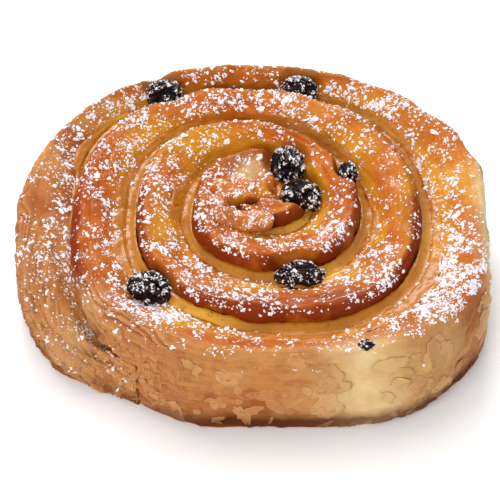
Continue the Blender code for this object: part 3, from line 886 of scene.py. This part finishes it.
def raisinMaterial():
    material, tree, shader = newMaterial("driedFruit", **{"Roughness": 0.42, "Specular IOR Level": 0.22})
    dip = attribute(tree, "dip")
    mottle = pattern(tree, 300, 4, 0.6)
    colour = blend(tree, steps(tree, mottle, 0.35, 0.7), (0.008, 0.0025, 0.002), (0.030, 0.007, 0.004))
    # painted shade: the deeper the fold, the darker the skin
    colour = blend(tree, steps(tree, dip, 0.06, 0.16), colour, (0.004, 0.0015, 0.0013))
    tree.links.new(colour, shader.inputs["Base Color"])
    bump = addNode(tree, "ShaderNodeBump", {"Height": pattern(tree, 1500, 3, 0.6), "Strength": 0.4, "Distance": 0.00012})
    tree.links.new(bump.outputs[0], shader.inputs["Normal"])
    shader.inputs["Coat Weight"].default_value = 0.06
    shader.inputs["Coat Roughness"].default_value = 0.25
    return material


fruitMaterial = raisinMaterial()
raisinPoints = {}
brownFruit = fruitMaterial.copy()
brownFruit.name = "driedFruitBrown"
for node in brownFruit.node_tree.nodes:
    if node.type == "MIX" and not node.inputs[6].is_linked:
        node.inputs[6].default_value = (0.050, 0.014, 0.006, 1)
        node.inputs[7].default_value = (0.13, 0.040, 0.014, 1)
for number in range(1, 10):
    node = f"raisin_{number}"
    points, quads, depth = raisinSurface(node, 100 + 7 * number)
    piece = makePiece(f"raisin{number}", insideBox(points), quads, {"dip": depth})
    piece.data.materials.append(brownFruit if number == 9 else fruitMaterial)
    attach(piece, "root")
    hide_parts(node)
    raisinPoints[node] = (points, quads, depth)
print("raisins 9")


sugar = {
    "seed": 12, "tries": 160000, "perRaisin": 1.55,
    # each sort: name, first of the drawn places, how many, radius in mm, spread, rounded or not
    "sorts": (("Coarse", 0, 3500, 0.235, 0.42, True), ("Fine", 3500, 5000, 0.145, 0.30, False)),
}


def unitLump(cut=True):
    # an octahedron, or one with its edges cut once: 18 points and 32 faces on the unit ball
    v = [(1, 0, 0), (-1, 0, 0), (0, 1, 0), (0, -1, 0), (0, 0, 1), (0, 0, -1)]
    f = [(0, 2, 4), (2, 1, 4), (1, 3, 4), (3, 0, 4), (2, 0, 5), (1, 2, 5), (3, 1, 5), (0, 3, 5)]
    v = [np.array(p, float) for p in v]
    middle, faces = {}, []
    if not cut:
        return np.array(v), np.array(f)

    def half(a, b):
        key = (min(a, b), max(a, b))
        if key not in middle:
            p = v[a] + v[b]
            v.append(p / np.linalg.norm(p))
            middle[key] = len(v) - 1
        return middle[key]

    for a, b, c in f:
        ab, bc, ca = half(a, b), half(b, c), half(c, a)
        faces += [(a, ab, ca), (ab, b, bc), (ca, bc, c), (ab, bc, ca)]
    return np.array(v), np.array(faces)


def sugarDensity(p):
    # how thick the dusting lies, from the place in the plan: thick on the left turns, by the
    # lower right and round the centre, thin by the upper right and none on the wall
    x, y, z = p[..., 0], p[..., 1], p[..., 2]
    spots = ((-32, 2, 9, 24, 0.95), (-22, 22, 12, 12, 0.7), (40, -27, 14, 8, 1.25), (20, -14, 12, 11, 0.75),
             (-10, -32, 20, 7, 0.65), (-8, -2, 9, 14, 0.9), (34, 14, 9, 16, 0.30), (4, 36, 30, 8, 0.5),
             (-46, -10, 6, 9, 0.15), (46, -10, 7, 16, 0.22), (0, 30, 30, 10, 0.45), (-20, -20, 16, 12, 0.6))
    total = 0.10 + 0 * x
    for cx, cy, sx, sy, weight in spots:
        total = total + weight * np.exp(-((x - cx) / sx) ** 2 - ((y - cy) / sy) ** 2)
    clump = 0.62 + 0.75 * fractal(p / 3.2, 2, 91)
    tiny = 0.7 + 0.8 * noise(p / 1.1, 95)
    return total * np.clip(clump, 0.03, 2) * np.clip(tiny, 0.05, 2)


def meshSamples(points, lowest, rng, count):
    # random places on a grid surface where it faces up more than lowest, spread evenly by area
    n = gridNormals(points)
    a = points[:-1, :-1]
    area = np.linalg.norm(np.cross(points[1:, :-1] - a, points[:-1, 1:] - a), axis=-1)
    area = area * (n[:-1, :-1, 2] > lowest)
    chance = area.ravel() / area.sum()
    pick = rng.choice(len(chance), count, p=chance)
    i, j = np.divmod(pick, a.shape[1])
    f, g = rng.random((2, count))
    p = (points[i, j] * ((1 - f) * (1 - g))[:, None] + points[i + 1, j] * (f * (1 - g))[:, None]
         + points[i, j + 1] * ((1 - f) * g)[:, None] + points[i + 1, j + 1] * (f * g)[:, None])
    return p, n[i, j]


def lumpCloud(places, normals, sizes, rng, cut=True):
    # each lump is the unit ball flattened, stretched, turned and roughened
    ball, faces = unitLump(cut)
    n = len(places)
    side = np.cross(normals, rng.normal(size=(n, 3)))
    side /= np.linalg.norm(side, axis=1, keepdims=True)
    other = np.cross(normals, side)
    ruffle = 1 + 0.34 * rng.normal(size=(n, len(ball), 1))
    local = ball[None] * np.clip(ruffle, 0.45, 1.7)
    stretch = np.stack([sizes * rng.uniform(0.7, 1.7, n), sizes * rng.uniform(0.6, 1.1, n),
                        sizes * rng.uniform(0.45, 0.8, n)], -1)
    local = local * stretch[:, None, :]
    points = (places[:, None] + local[..., :1] * side[:, None] + local[..., 1:2] * other[:, None]
              + local[..., 2:] * normals[:, None])
    allFaces = (faces[None] + (np.arange(n) * len(ball))[:, None, None]).reshape(-1, 3)
    return points.reshape(-1, 3), allFaces


def sugarMaterial():
    material, tree, shader = newMaterial("powderedSugar", **{"Roughness": 0.75})
    tint = blend(tree, steps(tree, pattern(tree, 900, 2), 0.3, 0.7), (0.84, 0.81, 0.83), (0.70, 0.64, 0.67))
    tree.links.new(tint, shader.inputs["Base Color"])
    return material


def sugarPieces():
    rng = np.random.default_rng(sugar["seed"])
    material = sugarMaterial()
    made = []
    for name, points, portion in (("sugarOuter", outerPoints, 0.5), ("sugarInner", innerPoints, 0.5)):
        p, n = meshSamples(points, 0.35, rng, sugar["tries"])
        chance = sugarDensity(p) * smooth(0.50, 0.85, n[:, 2])
        keep = np.nonzero(rng.random(len(p)) < chance / np.percentile(chance, 97))[0]
        for kind, first, count, size, spread, cut in sugar["sorts"]:
            some = keep[first:first + count]
            sizes = np.clip(size * np.exp(rng.normal(0, spread, len(some))), 0.07, 0.6)
            cloud, faces = lumpCloud(p[some] + n[some] * 0.03, n[some], sizes, rng, cut)
            made.append(makePiece(name + kind, insideBox(cloud), faces, None, False))
            print(name + kind, len(some), len(faces))
    places, normals = [], []
    for points, quads, depth in (*raisinPoints.values(), leafSurface):
        corners = np.array([q for q in quads if len(q) == 4])
        a, b, c, d = (points[corners[:, k]] for k in range(4))
        n = np.cross(c - a, d - b)
        area = np.linalg.norm(n, axis=1)
        n = n / (area[:, None] + 1e-12)
        chance = area * smooth(0.05, 0.7, n[:, 2]) * (1 - smooth(0.05, 0.17, depth[corners[:, 0]])) ** 1.5
        chance = chance * np.clip(0.3 + 1.2 * noise((a + c) / 2 / 0.9, 7), 0, 2)
        count = int(area.sum() * 0.5 * sugar["perRaisin"])
        pick = rng.choice(len(chance), count, p=chance / chance.sum())
        f = rng.random((count, 1))
        places.append(a[pick] * (1 - f) + c[pick] * f)
        normals.append(n[pick])
    places, normals = np.concatenate(places), np.concatenate(normals)
    sizes = np.clip(0.095 * np.exp(rng.normal(0.1, 0.5, len(places))), 0.05, 0.30)
    cloud, faces = lumpCloud(places, normals, sizes, rng)
    made.append(makePiece("sugarFruit", insideBox(cloud), faces, None, False))
    print("sugarFruit", len(places), len(faces))
    for piece in made:
        piece.data.materials.append(material)
        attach(piece, "root")
    return made


sugarPieces()


studio = {
    # name, place and aim in m, size in m, power in W, whether glossy surfaces show it
    "lamps": (("keyLight", (-0.15, 0.30, 0.70), (0, 0, 0.01), (0.7, 0.5), 3.3, False),
              ("fillLight", (-0.35, -0.65, 0.45), (0, 0, 0.01), (0.6, 0.4), 4.0, False),
              ("shineLight", (-0.03, 0.52, 0.44), (0, 0, 0.02), (0.34, 0.20), 2.6, True)),
    "floor": (0.93, 0.93, 0.93), "surround": 0.66,
    "elevation": 45.0, "lens": 135.0, "distance": 0.46, "target": (-0.001012, -0.002905, 0.012),
}


def softLight(name, spot, aim, size, power, colour=(1, 1, 1)):
    lamp = bpy.data.lights.new(name, "AREA")
    lamp.shape, lamp.size, lamp.size_y = "RECTANGLE", size[0], size[1]
    lamp.energy, lamp.color = power, colour
    thing = bpy.data.objects.new(name, lamp)
    bpy.context.scene.collection.objects.link(thing)
    direction = Vector(aim) - Vector(spot)
    thing.location = spot
    thing.rotation_euler = direction.to_track_quat("-Z", "Y").to_euler()
    return thing


def buildStudio():
    mesh = bpy.data.meshes.new("floor")
    mesh.from_pydata([(-3, -3, 0), (3, -3, 0), (3, 3, 0), (-3, 3, 0)], [], [(0, 1, 2, 3)])
    floor = bpy.data.objects.new("floor", mesh)
    bpy.context.scene.collection.objects.link(floor)
    material, tree, shader = newMaterial("paleFloor", **{"Roughness": 0.9, "Base Color": (*studio["floor"], 1)})
    floor.data.materials.append(material)
    world = bpy.data.worlds.new("studio")
    world.use_nodes = True
    world.node_tree.nodes["Background"].inputs["Color"].default_value = (1, 1, 1, 1)
    world.node_tree.nodes["Background"].inputs["Strength"].default_value = studio["surround"]
    bpy.context.scene.world = world
    for lamp in studio["lamps"]:
        thing = softLight(*lamp[:5])
        thing.visible_glossy = lamp[5]
    camera = bpy.data.objects.new("camera", bpy.data.cameras.new("camera"))
    bpy.context.scene.collection.objects.link(camera)
    e = math.radians(studio["elevation"])
    back = Vector((0, -math.cos(e), math.sin(e)))
    camera.location = Vector(studio["target"]) + back * studio["distance"]
    camera.rotation_euler = (-back).to_track_quat("-Z", "Y").to_euler()
    camera.data.lens = studio["lens"]
    camera.data.sensor_width = 36.0
    camera.data.clip_start = 0.01
    bpy.context.scene.camera = camera


buildStudio()
print("studio ready")
